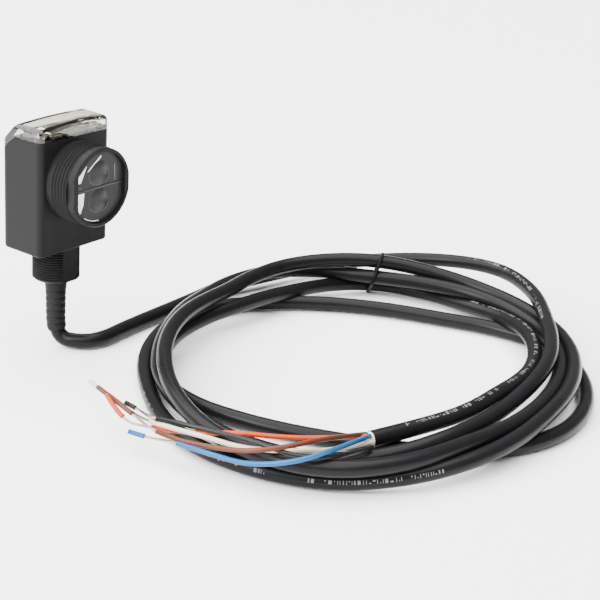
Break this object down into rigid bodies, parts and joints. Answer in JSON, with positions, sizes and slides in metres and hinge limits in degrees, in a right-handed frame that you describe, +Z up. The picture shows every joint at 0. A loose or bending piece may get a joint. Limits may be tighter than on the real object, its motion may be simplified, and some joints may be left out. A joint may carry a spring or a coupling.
{
  "type": "photoelectric sensor",
  "caption": "Box-bodied photoelectric sensor with a threaded nose holding two lenses, a clear indicator cover, a threaded base stub and a coiled lead ending in stripped conductors.",
  "frame": {"origin": "on the axis of the threaded base stub, at the underside of the body", "axes": "+Z up through the indicator cover, -Y out of the nose along the sensing axis, +X across the body"},
  "size_m": [0.2226, 0.1976, 0.0916],
  "materials": {
    "black_plastic": "satin",
    "cord_jacket": "satin PVC jacket",
    "plated_steel": "plated",
    "black_rubber": "soft matt",
    "lamp_green": "diffused",
    "lens_clear": "clear polished acrylic",
    "film_red": "epoxy dipped",
    "housing_black": "fine spark-eroded satin",
    "board_green": "solder mask",
    "clear_cover": "clear polished acrylic, faint olive",
    "wire_brown": "PVC insulation",
    "white_plastic": "satin",
    "lamp_amber": "diffused",
    "contact_brass": "bright",
    "copper_winding": "enamelled winding",
    "wire_black": "PVC insulation",
    "wire_blue": "PVC insulation",
    "wire_orange": "PVC insulation",
    "wire_white": "PVC insulation",
    "varistor_blue": "epoxy dipped"
  },
  "bodies": {
    "sensor": {"board_header": "black_plastic", "cable_coil": "cord_jacket", "cable_ferrule": "plated_steel", "cable_lead": "cord_jacket", "cable_seal": "black_rubber", "cable_tail": "cord_jacket", "coil_tie": "black_plastic", "controller_chip": "black_plastic", "cover_gasket": "black_rubber", "emitter_led": "lamp_green", "emitter_lens": "lens_clear", "film_capacitor": "film_red", "housing": "housing_black", "indicator_board": "board_green", "indicator_cover": "clear_cover", "inner_leads": "wire_brown", "lens_divider": "black_plastic", "lens_seal": "black_rubber", "main_board": "board_green", "optics_board": "board_green", "optics_holder": "white_plastic", "output_led": "lamp_amber", "power_led": "lamp_green", "receiver_lens": "lens_clear", "receiver_photodiode": "black_plastic", "rectifier": "black_plastic", "relay_base": "white_plastic", "relay_case": "black_plastic", "relay_coil": "copper_winding", "relay_contact_closed": "contact_brass", "relay_contact_open": "contact_brass", "relay_core": "plated_steel", "relay_yoke": "plated_steel", "signal_led": "lamp_amber", "strain_relief": "black_rubber", "supply_capacitor": "plated_steel", "tip_black": "wire_black", "tip_blue": "wire_blue", "tip_brown": "wire_brown", "tip_orange": "wire_orange", "tip_white": "wire_white", "varistor": "varistor_blue", "wire_black": "wire_black", "wire_blue": "wire_blue", "wire_brown": "wire_brown", "wire_orange": "wire_orange", "wire_white": "wire_white"},
    "armature": {"relay_armature": "plated_steel", "relay_blade": "contact_brass"}
  },
  "joints": [
    {"name": "armature_pull", "type": "hinge", "parent": "sensor", "child": "armature", "pos_m": [-0.0085, 0.0037, 0.0271], "axis": [1, 0, 0], "range_deg": [0, 3], "stiffness_Nm_per_rad": 0.001, "springref_deg": -11.46}
  ]
}
